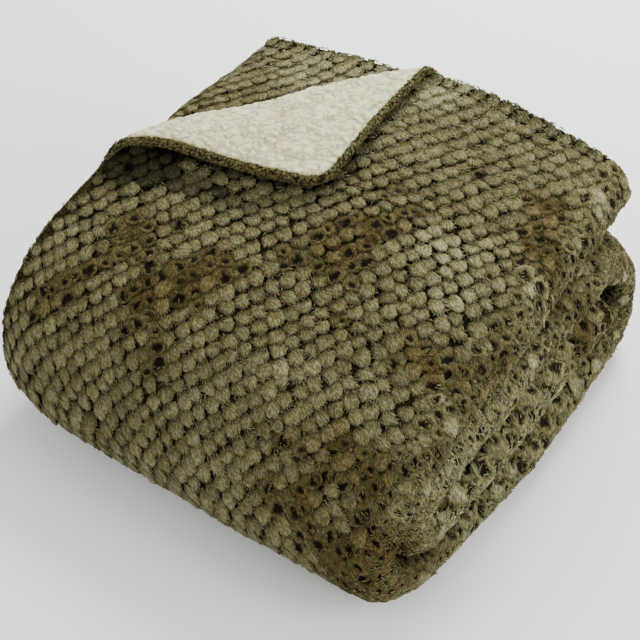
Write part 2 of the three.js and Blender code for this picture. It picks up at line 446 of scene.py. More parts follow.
# Where open air is looked for: tilts off the outward direction in degrees, each with its number of
# directions, how far each ring of them is turned against the one before, and how far they reach, in
# metres
OPEN_TILTS = [(12, 2), (45, 5), (72, 6)]
OPEN_TWIST = 0.3
OPEN_REACH = 0.12

# The least share of open air with which pile is made, and that on the side of the stacked folds
LEAST_AIR = 0.1
LEAST_AIR_STACKED = 0.24


def exposure(points, outwards, solid):
    """The share of directions in which each point has open air, from 0, buried, to 1."""
    rays = [
        (math.radians(tilt), math.tau * (turn + OPEN_TWIST * row) / turns)
        for row, (tilt, turns) in enumerate(OPEN_TILTS)
        for turn in range(turns)
    ]
    shares = np.zeros(len(points))
    for number, (point, outward) in enumerate(zip(points, outwards)):
        outward = Vector(outward)
        aside = outward.orthogonal().normalized()
        other = outward.cross(aside)
        start = Vector(point)
        free = 0
        for tilt, turn in rays:
            heading = outward * math.cos(tilt)
            heading += (aside * math.cos(turn) + other * math.sin(turn)) * math.sin(tilt)
            free += solid.ray_cast(start, heading, OPEN_REACH)[0] is None
        shares[number] = free / len(rays)
    return shares


def surface_frame(a, b, raised=0):
    """Points of the cut face with their outward directions and those of its two threads."""
    point = face_place(a, b, raised)
    along_a = face_place(a + 0.5, b, raised) - face_place(a - 0.5, b, raised)
    along_b = face_place(a, b + 0.5, raised) - face_place(a, b - 0.5, raised)
    rise = face_place(a, b, raised + 0.5) - face_place(a, b, raised - 0.5)
    outward = np.cross(along_a, along_b)
    outward *= np.sign((outward * rise).sum(1))[:, None]
    outward /= np.maximum(np.linalg.norm(outward, axis=1), 1e-12)[:, None]
    return point, outward, along_a / MM, along_b / MM


# Nodes
def new_node(tree, kind, values=None, **settings):
    """A shader node or geometry node, with the values of its inputs and its settings."""
    node = tree.nodes.new(tree.bl_idname.replace("Tree", kind))
    for name, setting in settings.items():
        setattr(node, name, setting)
    for name, value in (values or {}).items():
        node.inputs[name].default_value = value
    return node


def group_ends(group):
    return group.nodes.new("NodeGroupInput"), group.nodes.new("NodeGroupOutput")


def wired(tree, *wires):
    """Links in a node tree, each from a node's output to another node's input."""
    for source, output, target, socket in wires:
        tree.links.new(source.outputs[output], target.inputs[socket])


# The tufts. A form is a flat-topped puff with locks of pile that end in a ragged lip. It is made
# from a ball of radius 1: where the ball is cut off below, how square its plan is, how much it
# tapers, leans and climbs along its nap, how steeply it rises, and how uneven it is
PUFF = dict(
    cut=-0.25, squareness=0.3, width=0.97, taper=0.08, lean=0.5, steepness=0.6, height=0.85,
    climb=0.25, unevenness=0.5, lump_pitch=2.1,
)

# The paleness of a puff's pile: at its foot, dark with its roots and with painted shade between the
# puffs, what it gains up to its crown, what it loses as a painted shadow on its back under the lip
# of the puff before it, that of a brushed puff, and that of the bottom of a pit
TONE = dict(foot=0.08, crown=0.54, lip_shadow=0.35, brushed=0.5, pit=-0.3)

# How steep the wall of a pit is, on the ball, and how much of the puff's height it takes away
PIT_STEEPNESS = 5.5
PIT_DEPTH = 0.8


def tuft_form(name, seed, size, sides, locks, lock, material, pit=None):
    """One tuft, its pile combed towards +Y, in millimetres.

    Its size is its half width, half length and height, and lock is the locks' length and radius.
    A tuft brushed against its nap has a dark pit, where its pile parts. How wide it opens is
    drawn from the pit's range.
    """
    rng = random.Random(seed)
    bm = bmesh.new()
    bmesh.ops.create_uvsphere(bm, u_segments=sides, v_segments=5, radius=1)
    bmesh.ops.rotate(
        bm, matrix=Matrix.Rotation(rng.uniform(0, 1), 3, "Z"), verts=bm.verts[:], cent=(0, 0, 0)
    )
    bmesh.ops.bisect_plane(
        bm, geom=bm.verts[:] + bm.edges[:] + bm.faces[:], plane_co=(0, 0, PUFF["cut"]),
        plane_no=(0, 0, -1), clear_outer=True,
    )
    crown = Vector((0, 0, 1))
    if pit:
        spokes = [edge for edge in bm.edges if min((v.co - crown).length for v in edge.verts) < 0.01]
        bmesh.ops.subdivide_edges(bm, edges=spokes, cuts=1)

    def shaped(place):
        rise = (place.z - PUFF["cut"]) / (1 - PUFF["cut"])
        broad = max(math.hypot(place.x, place.y), 1e-4) ** -PUFF["squareness"]
        return Vector((
            place.x * broad * size[0] * (PUFF["width"] - PUFF["taper"] * place.y),
            (place.y * broad + rise * PUFF["lean"]) * size[1],
            rise ** PUFF["steepness"] * size[2] * (PUFF["height"] + PUFF["climb"] * place.y),
        ))

    tip = bm.verts.layers.float.new("tip")
    opening = rng.uniform(*pit) if pit else -1
    for vert in bm.verts:
        lump = noise.noise(vert.co * PUFF["lump_pitch"] + Vector((seed * 3.7, 0, 0)))
        edge = opening + rng.uniform(-0.4, 0.6)
        sunk = smooth(edge - PIT_STEEPNESS * (vert.co - crown).length, 0, 1)
        # Darker low on the puff with its roots and painted shade, and a painted shadow on its back
        # under the lip of the puff before it
        tone = TONE["foot"] + TONE["crown"] * smooth(vert.co.z, -0.24, 0.46)
        tone -= TONE["lip_shadow"] * smooth(-vert.co.y, 0.3, 0.9)
        if pit:
            tone = TONE["brushed"]
        vert[tip] = tone * (1 - sunk) + TONE["pit"] * sunk
        vert.co = shaped(vert.co) * (1 + PUFF["unevenness"] * lump)
        vert.co.z *= 1 - PIT_DEPTH * sunk
    for number in range(locks):
        round_by = math.tau * (number + rng.uniform(0.1, 0.9)) / locks
        height = rng.uniform(0.15, 0.75)
        ring = math.sqrt(1 - height * height)
        outward = Vector((ring * math.cos(round_by), ring * math.sin(round_by), height))
        outward = (outward + Vector((0, 0.3, 0))).normalized()
        root = shaped(outward * 0.9) - outward * lock[1]
        heading = Vector((rng.uniform(-0.3, 0.3), 1 + rng.uniform(-0.3, 0.3), 0)) + outward * 0.9
        add_lock(bm, tip, root, heading, lock[0] * rng.uniform(0.8, 1.2), lock[1], 0.35)
    return as_form(name, bm, size[1], material)


def add_lock(bm, tip, root, heading, length, radius, tone):
    """A pointed lock of pile, paler towards its end."""
    heading = heading.normalized()
    turn = heading.to_track_quat("Z", "Y").to_matrix().to_4x4()
    turn.translation = root + heading * length / 2
    made = bmesh.ops.create_cone(
        bm, cap_ends=False, segments=3, radius1=radius, radius2=0, depth=length, matrix=turn,
    )
    for vert in made["verts"]:
        vert[tip] = tone + (1 - tone) * (vert.co - root).dot(heading) / length


def loose_form(name, seed, hairs, scatter, length, radius, material):
    """A few loose hairs of pile, combed towards +Y, in millimetres."""
    rng = random.Random(seed)
    bm = bmesh.new()
    tip = bm.verts.layers.float.new("tip")
    for _ in range(hairs):
        root = Vector((rng.uniform(-scatter, scatter), rng.uniform(-scatter, scatter), -0.4))
        heading = Vector((root.x / scatter * 0.4 + rng.uniform(-0.3, 0.3), 1, rng.uniform(0.05, 0.5)))
        add_lock(bm, tip, root, heading, length * rng.uniform(0.7, 1.2), radius, 0.5)
    return as_form(name, bm, length, material)


def as_form(name, bm, half_length, material):
    """A form in metres. Each point keeps its place in the pile, which fans out towards +Y."""
    pile = bm.verts.layers.float_vector.new("pile")
    for vert in bm.verts:
        fan = 1 + 0.3 * min(max(vert.co.y / half_length, -1), 1.5)
        vert[pile] = (vert.co.x / fan, vert.co.y, vert.co.z)
    bmesh.ops.scale(bm, vec=(MM, MM, MM), verts=bm.verts[:])
    return bpy.data.objects.new(name, mesh_of(bm, name, material))


def form_family(name, count, make, **form):
    family = bpy.data.collections.new(name)
    for number in range(count):
        family.objects.link(make(f"{name}_{number}", seed=number + 1, **form))
    return family


def planting(family):
    """Geometry nodes that plant a family of forms at points, turned, sized and told apart."""
    tree = bpy.data.node_groups.new("planting", "GeometryNodeTree")
    for way in ("INPUT", "OUTPUT"):
        tree.interface.new_socket("Geometry", in_out=way, socket_type="NodeSocketGeometry")
    start, end = group_ends(tree)
    forms = new_node(tree, "CollectionInfo", {"Collection": family, "Separate Children": True})
    plant = new_node(tree, "InstanceOnPoints", {"Pick Instance": True})
    realize = new_node(tree, "RealizeInstances")
    wired(
        tree, (start, 0, plant, "Points"), (forms, 0, plant, "Instance"), (plant, 0, realize, 0),
        (realize, 0, end, 0),
    )
    for socket, attribute, kind in (
        ("Instance Index", "form", "INT"), ("Rotation", "turn", "FLOAT_VECTOR"),
        ("Scale", "stretch", "FLOAT_VECTOR"),
    ):
        named = new_node(tree, "InputNamedAttribute", {"Name": attribute}, data_type=kind)
        wired(tree, (named, "Attribute", plant, socket))
    return tree


def vertex_values(mesh, name):
    values = np.empty(3 * len(mesh.vertices), np.float32)
    mesh.attributes[name].data.foreach_get("vector", values)
    return values.reshape(-1, 3)


def planted(name, a, b, heading, stretch, shade, nap_and_light, family, seed, raised=0):
    """One mesh of many forms, planted on the flat cut face and folded with it.

    The heading of a form's +Y is measured from the length of the cloth towards its width.
    """
    rng = np.random.default_rng(seed)
    zeros = np.zeros(len(a))
    _, _, along_a, along_b = surface_frame(a, b, 1.0)
    grown = np.stack([np.linalg.norm(along_a, axis=1), np.linalg.norm(along_b, axis=1)], -1)
    grown = np.column_stack([np.clip(grown, 0.6, 3), zeros + 1])
    points = np.stack([a, b, zeros + raised], -1) * MM
    mesh = bpy.data.meshes.new(name)
    mesh.vertices.add(len(points))
    mesh.vertices.foreach_set("co", np.asarray(points, np.float32).ravel())
    for attribute, kind, field, values in (
        ("turn", "FLOAT_VECTOR", "vector", np.stack([zeros, zeros, -heading], -1)),
        ("stretch", "FLOAT_VECTOR", "vector", stretch),
        ("middle", "FLOAT_VECTOR", "vector", points),
        ("grown", "FLOAT_VECTOR", "vector", grown),
        ("shade", "FLOAT", "value", shade),
        ("nap_and_light", "FLOAT", "value", nap_and_light),
        ("form", "INT", "value", rng.integers(0, len(family.objects), len(points))),
    ):
        layer = mesh.attributes.new(attribute, kind, "POINT")
        layer.data.foreach_set(field, np.ascontiguousarray(values).ravel())
    spots = in_scene(name + "_spots", mesh)
    spots.modifiers.new("planting", "NODES").node_group = planting(family)
    whole = spots.evaluated_get(bpy.context.evaluated_depsgraph_get())
    result = bpy.data.meshes.new_from_object(whole)
    result.name = name
    bpy.data.objects.remove(spots)
    middle = vertex_values(result, "middle")
    flat = middle + (vertex_values(result, "position") - middle) / vertex_values(result, "grown")
    places = face_place(*(flat.T.astype(float) / MM))
    result.vertices.foreach_set("co", places.astype(np.float32).ravel())
    for layer in ("turn", "stretch", "form", "middle", "grown"):
        if layer in result.attributes:
            result.attributes.remove(result.attributes[layer])
    result.flip_normals()
    result.update()
    return in_scene(name, result)


# Finishes
def new_finish(name, values):
    """A material, with its node tree and its shader."""
    material = bpy.data.materials.new(name)
    material.use_nodes = True
    tree = material.node_tree
    tree.nodes.clear()
    shader = new_node(tree, "BsdfPrincipled", values)
    output = new_node(tree, "OutputMaterial")
    wired(tree, (shader, 0, output, "Surface"))
    return material, tree, shader


def new_group(name, inputs, outputs):
    """A node group, with its input and output nodes. Besides its named inputs it has a Vector."""
    group = bpy.data.node_groups.new(name, "ShaderNodeTree")
    group.interface.new_socket("Vector", in_out="INPUT", socket_type="NodeSocketVector")
    for label, value in inputs.items():
        socket = group.interface.new_socket(label, in_out="INPUT", socket_type="NodeSocketFloat")
        socket.default_value = value
    for label in outputs:
        group.interface.new_socket(label, in_out="OUTPUT", socket_type="NodeSocketFloat")
    return group, *group_ends(group)


def placed_group(tree, group, source, output, **values):
    node = new_node(tree, "Group", values, node_tree=group)
    wired(tree, (source, output, node, "Vector"))
    return node


def noise_node(tree, scale, detail, roughness):
    values = {"Scale": scale, "Detail": detail, "Roughness": roughness}
    return new_node(tree, "TexNoise", values)


def range_node(tree, low, high, to_low=0.0, to_high=1.0, kind="SMOOTHSTEP"):
    values = {"From Min": low, "From Max": high, "To Min": to_low, "To Max": to_high}
    return new_node(tree, "MapRange", values, interpolation_type=kind)


def mix_node(tree, blend="MIX", **colours):
    """A mix of two colours, A and B, with all of B where its factor isn't wired."""
    values = {name: (*colour, 1) for name, colour in colours.items()}
    return new_node(tree, "Mix", {"Factor": 1.0, **values}, data_type="RGBA", blend_type=blend)


def bumped(tree, shader, source, output, strength, distance):
    bump = new_node(tree, "Bump", {"Strength": strength, "Distance": distance})
    wired(tree, (source, output, bump, "Height"), (bump, "Normal", shader, "Normal"))


def combed_group():
    """Pile seen end on: fine clumps slightly drawn along +Y of the forms, and painted glints at the
    hair ends.
    """
    group, start, end = new_group("combed_pile", {"Shift": 0.0}, ["Streak", "Glint", "Height"])
    drawn = new_node(group, "VectorMath", {1: (1.0, 0.3, 1.0)}, operation="MULTIPLY")
    apart = new_node(group, "VectorMath", operation="ADD")
    shifted = new_node(group, "Math", {1: 731.0}, operation="MULTIPLY")
    fine = noise_node(group, 1.0, 1.5, 0.5)
    clear = range_node(group, 0.38, 0.62)
    # Painted glints at the hair ends
    ends = noise_node(group, 1.9, 1.0, 0.6)
    pale = range_node(group, 0.6, 0.72)
    wired(
        group, (start, "Vector", drawn, 0), (start, "Shift", shifted, 0), (drawn, 0, apart, 0),
        (shifted, 0, apart, 1), (apart, 0, fine, "Vector"), (apart, 0, ends, "Vector"),
        (fine, "Fac", clear, "Value"), (ends, "Fac", pale, "Value"),
        (clear, "Result", end, "Streak"), (pale, "Result", end, "Glint"),
        (fine, "Fac", end, "Height"),
    )
    return group


COMBED = combed_group()


def pile_finish(name, root, middle, tip, stroked_and_shaded=(1, 1, 1), lying_sheen=(1, 1, 1)):
    """Pile whose colour goes from its dark roots to its pale ends.

    It is tinted browner where it is stroked against its nap and, as painted shade, in the grooves of
    the stacked folds; it is paler where it lies flat, as painted sheen and light.
    """
    material, tree, shader = new_finish(name, {
        "Roughness": 0.8, "Sheen Weight": 0.05, "Sheen Roughness": 0.4,
        "Sheen Tint": (0.8, 0.78, 0.5, 1), "Specular IOR Level": 0.04,
    })
    ramp = new_node(tree, "ValToRGB")
    ramp.color_ramp.elements[0].color = (*root, 1)
    ramp.color_ramp.elements[0].position = 0.2
    ramp.color_ramp.elements[1].color = (*tip, 1)
    ramp.color_ramp.elements.new(0.6).color = (*middle, 1)
    pile, height, shade, nap_and_light = (
        new_node(tree, "Attribute", attribute_name=attribute)
        for attribute in ("pile", "tip", "shade", "nap_and_light")
    )
    combed = placed_group(tree, COMBED, pile, "Vector")
    frayed = new_node(tree, "Math", {1: 0.2}, operation="MULTIPLY_ADD")
    wired(
        tree, (shade, "Fac", combed, "Shift"), (combed, "Streak", frayed, 0),
        (height, "Fac", frayed, 2), (frayed, "Value", ramp, "Fac"),
    )
    colour = (ramp, "Color")
    for most, tint in ((-1.0, stroked_and_shaded), (1.5, lying_sheen)):
        amount = range_node(tree, 0.0, most)
        tinted = mix_node(tree, "MULTIPLY", B=tint)
        wired(
            tree, (nap_and_light, "Fac", amount, "Value"), (*colour, tinted, "A"),
            (amount, "Result", tinted, "Factor"),
        )
        colour = (tinted, "Result")
    # The shade darkens the pile as painted shade in hollows and grooves, besides each tuft's random
    # tone; the glint brightens it as painted glints at the hair ends
    for source, output, low, dark, pale in (
        (shade, "Fac", -1, 0.25, 1.25), (combed, "Glint", 0, 1, 1.9),
    ):
        amount = range_node(tree, low, 1, dark, pale, "LINEAR")
        told_apart = mix_node(tree, "MULTIPLY")
        wired(
            tree, (source, output, amount, "Value"), (*colour, told_apart, "A"),
            (amount, "Result", told_apart, "B"),
        )
        colour = (told_apart, "Result")
    wired(tree, (*colour, shader, "Base Color"))
    bumped(tree, shader, combed, "Height", 1.0, 0.0015)
    return material


def ground_finish(name, deep, high):
    """The woven ground between the tufts."""
    material, tree, shader = new_finish(name, {"Roughness": 0.95, "Specular IOR Level": 0.03})
    spot = new_node(tree, "TexCoord")
    speckle = noise_node(tree, 420.0, 3.0, 0.6)
    clear = range_node(tree, 0.35, 0.65)
    mix = mix_node(tree, A=deep, B=high)
    fibres = noise_node(tree, 700.0, 3.0, 0.65)
    wired(
        tree, (spot, "Object", speckle, "Vector"), (speckle, "Fac", clear, "Value"),
        (clear, "Result", mix, "Factor"), (mix, "Result", shader, "Base Color"),
        (spot, "Object", fibres, "Vector"),
    )
    bumped(tree, shader, fibres, "Fac", 0.6, 0.001)
    return material


def curl_group():
    """The small curls of fleece, parted by fine cracks of uneven depth, which carry painted shade."""
    group, start, end = new_group("fleece_curls", {"Size": 200.0}, ["Crack Shade", "Height"])
    bend = noise_node(group, 170.0, 2.0, 0.5)
    centred = new_node(group, "VectorMath", {1: (0.5, 0.5, 0.5)}, operation="SUBTRACT")
    little = new_node(group, "VectorMath", {"Scale": 0.0065}, operation="SCALE")
    bent = new_node(group, "VectorMath", operation="ADD")
    cells = new_node(group, "TexVoronoi", feature="DISTANCE_TO_EDGE")
    puffed = range_node(group, 0.0, 0.5)
    gap = range_node(group, 0.0, 0.2, 0.8, 0.0)
    uneven = noise_node(group, 75.0, 2.0, 0.6)
    deep = range_node(group, 0.34, 0.6)
    # Painted shade in the cracks between the curls
    crack_shade = new_node(group, "Math", operation="MULTIPLY")
    fuzz = noise_node(group, 700.0, 3.0, 0.7)
    height = new_node(group, "Math", {1: 0.35}, operation="MULTIPLY_ADD")
    wired(
        group, (start, "Vector", bend, "Vector"), (bend, "Color", centred, 0),
        (centred, 0, little, 0), (start, "Vector", bent, 0), (little, 0, bent, 1),
        (bent, 0, cells, "Vector"), (start, "Size", cells, "Scale"),
        (cells, "Distance", puffed, "Value"), (cells, "Distance", gap, "Value"),
        (start, "Vector", uneven, "Vector"), (uneven, "Fac", deep, "Value"),
        (gap, "Result", crack_shade, 0), (deep, "Result", crack_shade, 1), (start, "Vector", fuzz, "Vector"),
        (fuzz, "Fac", height, 0), (puffed, "Result", height, 2), (crack_shade, 0, end, "Crack Shade"),
        (height, 0, end, "Height"),
    )
    return group


CURLS = curl_group()


def fleece_finish(name, curl, warm, crack_shade):
    """Curly fleece: pale curls, warmer here and there, parted by thin cracks painted browner and
    darker as shade.
    """
    material, tree, shader = new_finish(name, {
        "Roughness": 0.95, "Sheen Weight": 0.3, "Sheen Roughness": 0.6, "Specular IOR Level": 0.15,
    })
    spot = new_node(tree, "TexCoord")
    tone = noise_node(tree, 55.0, 3.0, 0.6)
    clear = range_node(tree, 0.4, 0.7)
    toned = mix_node(tree, A=curl, B=warm)
    curls_here = placed_group(tree, CURLS, spot, "UV", Size=115.0)
    parted = mix_node(tree, B=crack_shade)
    wired(
        tree, (spot, "UV", tone, "Vector"), (tone, "Fac", clear, "Value"),
        (clear, "Result", toned, "Factor"), (toned, "Result", parted, "A"),
        (curls_here, "Crack Shade", parted, "Factor"), (parted, "Result", shader, "Base Color"),
    )
    bumped(tree, shader, curls_here, "Height", 1.0, 0.0026)
    return material


PLUSH = pile_finish(
    "olive_plush", root=(0.006, 0.004, 0.002), middle=(0.069, 0.0605, 0.0225),
    tip=(0.218, 0.204, 0.115), stroked_and_shaded=(0.76, 0.66, 0.52), lying_sheen=(1.75, 1.83, 2.05),
)
HEM_PILE = pile_finish(
    "olive_hem_pile", root=(0.010, 0.007, 0.003), middle=(0.066, 0.055, 0.020),
    tip=(0.19, 0.172, 0.078),
)
GROUND = ground_finish("plush_ground", deep=(0.007, 0.005, 0.002), high=(0.040, 0.031, 0.012))
FLEECE = fleece_finish(
    "curly_fleece", curl=(0.745, 0.72, 0.455), warm=(0.735, 0.66, 0.33), crack_shade=(0.28, 0.26, 0.14),
)


# The face
def face_cloth():
    """The face's woven ground, and the same as a solid that hides tufts from the open air."""
    hem = [share * HEM_TURN for share in (0, 0.35, 0.7, 1)]
    hem += [HEM_CUT - math.pi * HEM_LOFT * (1 - step / 6) for step in range(1, 7)]
    hem += [HEM_CUT + inside for inside in (2.5, 5, 8)]
    bm = flat_sheet(*sheet_lines(hem, longest=15, margin=18, beyond=HEM_CUT - HEM_LOFT))
    flat = flat_places(bm)
    places = face_place(flat[0], flat[1])
    bm.verts.index_update()
    solid = BVHTree.FromPolygons(
        [tuple(place) for place in places],
        [[vert.index for vert in face.verts] for face in bm.faces],
    )
    middles = np.array([face.calc_center_median()[:] for face in bm.faces])
    point, outward, _, _ = surface_frame(middles[:, 0], middles[:, 1], 1.5)
    open_air = exposure(point, outward, solid)
    divided(bm, [face for face, share in zip(bm.faces, open_air) if share > 0])
    flat = flat_places(bm)
    bmesh.ops.reverse_faces(bm, faces=bm.faces[:])
    piece = finished("face_cloth", bm, face_place(flat[0], flat[1]), GROUND)
    return piece, solid


# How high the middle of the pile stands over its ground
PILE_MIDDLE = 2.5


def even_places(axis, pitch):
    """Places along the cut face by the number of steps to them, and how many steps there are.

    Where the bundle's outside is stretched, round its folds, the steps are shorter.
    """
    edge = HEM_CUT + 4
    fine = np.arange(edge, FACE_CUT[axis] - edge, 1.0)
    middle = np.full_like(fine, (ALONG, ACROSS)[axis]["top_run"] / 2)
    point = face_place(*((fine, middle), (middle, fine))[axis], PILE_MIDDLE)
    grown = np.linalg.norm(np.diff(point, axis=0), axis=1) / MM
    gone = np.concatenate([[0], np.cumsum(np.maximum(grown, 0.85) ** 1.4)])

    def at(steps):
        return np.interp(steps * pitch, gone, fine)

    return at, int(gone[-1] / pitch)


def tuft_points():
    """The popcorn rows in the cut face, staggered and slightly uneven, and the room of each tuft."""
    rng = np.random.default_rng(7)
    across, columns = even_places(0, TUFT_PITCH)
    along, rows = even_places(1, ROW_PITCH)
    row, column = np.meshgrid(np.arange(rows), np.arange(columns), indexing="ij")
    column = column + (ROW_SHIFT * row) % 1
    a, b = across(column), along(row)
    room = np.stack([across(column + 0.5) - across(column - 0.5), along(row + 0.5) - along(row - 0.5)])
    room = np.maximum(room, 0.5 * ROW_PITCH)
    b = b + 1.8 * np.sin(a / 90) + 1.2 * np.sin(a / 41 + b / 130)
    a = a + 1.6 * np.sin(b / 70) + 1.0 * np.sin(b / 37 + a / 120)
    a = a + rng.normal(0, 0.055, a.shape) * room[0]
    b = b + rng.normal(0, 0.055, b.shape) * room[1]
    return a.ravel(), b.ravel(), room.reshape(2, -1)


# Patches of the pile in the bundle: the start and end of each, its reach, all in millimetres, and
# its strength. Below 0 the pile is stroked up against its nap, so that it looks browner and parts
# into dark pits. Above 0 it lies flat and is paler, as painted sheen and painted light.
PATCHES = [
    ((-137, -113, 120), (-122, -79, 133), 22, -0.8),
    ((-75, -112, 124), (-43, -73, 137), 19, -1.1),
    ((-5, -38, 146), (22, -8, 150), 17, -1.1),
    ((22, -8, 150), (64, 58, 155), 12, -0.8),
    ((100, 63, 152), (104, 66, 152), 11, -0.6),
    ((117, 105, 150), (155, 52, 141), 17, -0.9),
    ((130, 38, 146), (126, 70, 150), 11, -0.7),
    ((171, 95, 92), (180, 84, 59), 15, -0.9),
    ((109, -62, 135), (147, -63, 131), 10, -0.9),
    ((114, -143, 106), (136, -141, 105), 17, -1.1),
    ((102, -169, 86), (75, -177, 79), 12, -0.8),
    ((154, -170, 79), (160, -140, 33), 15, -0.9),
    ((155, -115, 115), (168, -98, 78), 22, -0.9),
    ((163, -28, 129), (165, -62, 121), 16, -0.8),
    ((-145, -145, 102), (-148, -140, 108), 14, -0.7),
    ((90, 19, 151), (111, -9, 146), 30, 1.0),
    ((112, -104, 123), (122, -108, 120), 13, 0.7),
    ((46, -119, 122), (60, -112, 122), 16, 0.5),
    ((29, 96, 156), (34, 100, 156), 20, 0.4),
    ((173, -7, 65), (182, 23, 55), 26, 0.6),
    ((164, 16, 101), (160, 40, 110), 9, 0.7),
    ((165, -100, 80), (178, 0, 60), 30, 0.3),
    # Painted light on the far layer at the back
    ((-120, 150, 150), (-20, 170, 150), 36, 1.7),
    ((125, -178, 60), (165, -175, 40), 26, -0.9),
    # Painted light on the front
    ((-120, -170, 60), (30, -187, 70), 50, 0.2),
]

# The crests of the stacked folds, in the same way: there the pile is shaggy, and paler as a painted
# highlight on their lit edges.
CRESTS = [
    ((164, -5, 110), (165, -107, 83), 8, 1.6),
    ((174, 3, 88), (167, -117, 77), 7, 1.6),
    ((178, 20, 62), (179, -108, 44), 8, 1.6),
]

# Shadowed hollows, in the same way: a strength below 0 makes the pile darker.
HOLLOWS = [
    ((-182, -28, 137), (-140, -21, 143), 13, -4),
    ((-140, -22, 143), (-60, -15, 150), 8, -1.6),
]


def pile_nap_and_light(points):
    """How each place's pile lies, from -1, stroked up against its nap, to 1.5, flat and paler with
    painted sheen and light.
    """
    nap_and_light = np.array([
        0.6 * noise.noise(Vector(point) * 14.0) + 0.5 * noise.noise(Vector(point) * 37.0)
        for point in points
    ])
    return np.clip(nap_and_light + spread(points / MM, PATCHES + CRESTS), -1, 1.5)


# The right side starts at this x, in metres, and the back's shaggy pile begins between these y
RIGHT_SIDE = 0.1
SHAGGY_BACK = (0.03, 0.12)

ZONES = ["top", "bottom", "front", "right", "left", "back"]


def zones_of(point, outward):
    """The side of the bundle that each tuft belongs to: the first that it fits, or else the back."""
    return np.select([
        (outward[:, 2] > 0.62) & (point[:, 2] > 0.02), outward[:, 2] < -0.75, outward[:, 1] < -0.55,
        point[:, 0] > RIGHT_SIDE, point[:, 0] < -RIGHT_SIDE,
    ], ZONES[:-1], ZONES[-1])


def tuft_families():
    """Full tufts, plain ones for the bottom, and brushed ones that are parted a little or far."""
    brushed = dict(size=(8.8, 8.5, 3.2), sides=9, locks=6, lock=(3.0, 1.0))
    return [
        form_family(name, count, tuft_form, material=PLUSH, **form)
        for name, count, form in (
            ("tuft", 8, dict(size=(6.4, 7.7, 4.1), sides=9, locks=13, lock=(3.2, 0.9))),
            ("plain_tuft", 4, dict(size=(7.6, 7.4, 3.4), sides=7, locks=4, lock=(2.8, 1.4))),
            ("parted_tuft", 8, dict(brushed, pit=(0.6, 2.3))),
            ("open_tuft", 8, dict(brushed, pit=(1.4, 3.0))),
        )
    ]


def popcorn(solid):
    """The tufts that open air reaches, as one mesh for each side of the bundle."""
    rng = np.random.default_rng(11)
    a, b, room = tuft_points()
    point, outward, _, _ = surface_frame(a, b, PILE_MIDDLE)
    air = exposure(point, outward, solid)
    stacked = (point[:, 0] > RIGHT_SIDE) & (
        (a > ACROSS["top_run"]) | (b > ALONG["stretches"][2]["at"])
    )
    seen = air > np.where(stacked, LEAST_AIR_STACKED, LEAST_AIR)
    a, b, room, air, stacked = a[seen], b[seen], room[:, seen], air[seen], stacked[seen]
    count = len(a)
    point, outward, along_a, along_b = surface_frame(a, b)
    nap_and_light = pile_nap_and_light(point)
    up = smooth(-nap_and_light, 0.15, 0.6)
    at_back = smooth(point[:, 1], *SHAGGY_BACK)

    # Each tuft fills its room, and those that little air reaches are pressed small
    heading = COMBED_HEADING + rng.normal(0, 0.2, count) + 0.7 * up * rng.uniform(-1, 1, count)
    wide = room[0] * np.linalg.norm(along_a, axis=1) / TUFT_PITCH
    long = room[1] * np.linalg.norm(along_b, axis=1) / ROW_PITCH
    size = np.clip(np.sqrt(wide * long), 0.8, 1.2) * rng.normal(1, 0.05, count)
    size = size * mixed(0.6, 1, smooth(air, 0.1, 0.4))
    stretch = size[:, None] * np.stack([
        rng.uniform(least, most, count) for least, most in ((0.92, 1.1), (0.92, 1.1), (0.85, 1.15))
    ], -1)
    shade = np.clip(rng.normal(0.5, 0.22, count), 0, 1)
    stretch[:, 0] *= mixed(1, 1.25, at_back)
    # Painted shade: darker in the shadowed hollows and where little open air reaches the tuft
    shade += spread(point / MM, HOLLOWS) - 1.3 * (1 - smooth(air, 0.15, 0.55))

    # Most tufts on the stacked folds are brushed, and elsewhere those in the stroked patches
    zone = zones_of(point, outward)
    side = (zone != "bottom") & stacked & (point[:, 0] > rng.uniform(RIGHT_SIDE, 0.15, count))
    parting = np.where(side, 0.85, 0.75 * smooth(up, 0.15, 0.6) * (zone != "bottom"))
    brushed = rng.random(count) < parting
    stretch[:, 2] *= np.where(side, mixed(0.6, 1.35, smooth(air, 0.3, 0.7)), 1)
    stretch[side] *= rng.uniform(0.85, 1.15, (int(side.sum()), 1))
    crest = side * np.clip(spread(point / MM, CRESTS), 0, 1)
    stretch[:, 2] *= 1 + 0.25 * crest
    # Painted light and shade on the stacked folds: paler pile where open air reaches it, darker and
    # browner pile in the grooves between them
    nap_and_light = nap_and_light + side * (1 - up) * (3 * np.clip(air - 0.52, -0.3, 0.35))
    shade -= 0.5 * side * (1 - smooth(air, 0.3, 0.65))

    full, plain, parted, open_parted = tuft_families()
    pieces = []
    for name in ZONES:
        for kind, chosen, family in (
            ("popcorn", (zone == name) & ~brushed, plain if name == "bottom" else full),
            ("brushed", (zone == name) & brushed, open_parted if name == "right" else parted),
        ):
            if chosen.any():
                values = (each[chosen] for each in (a, b, heading, stretch, shade, nap_and_light))
                pieces.append(planted(f"{kind}_{name}", *values, family, len(pieces)))
    dressed = (outward[:, 2] > -0.5) & (air > 0.4) & (side | ~brushed) & (shade > -0.6)
    shaggy = np.where(side, 0.15 + crest, at_back)
    pieces.append(loose_pile(a[dressed], b[dressed], shaggy[dressed], rng))
    return pieces


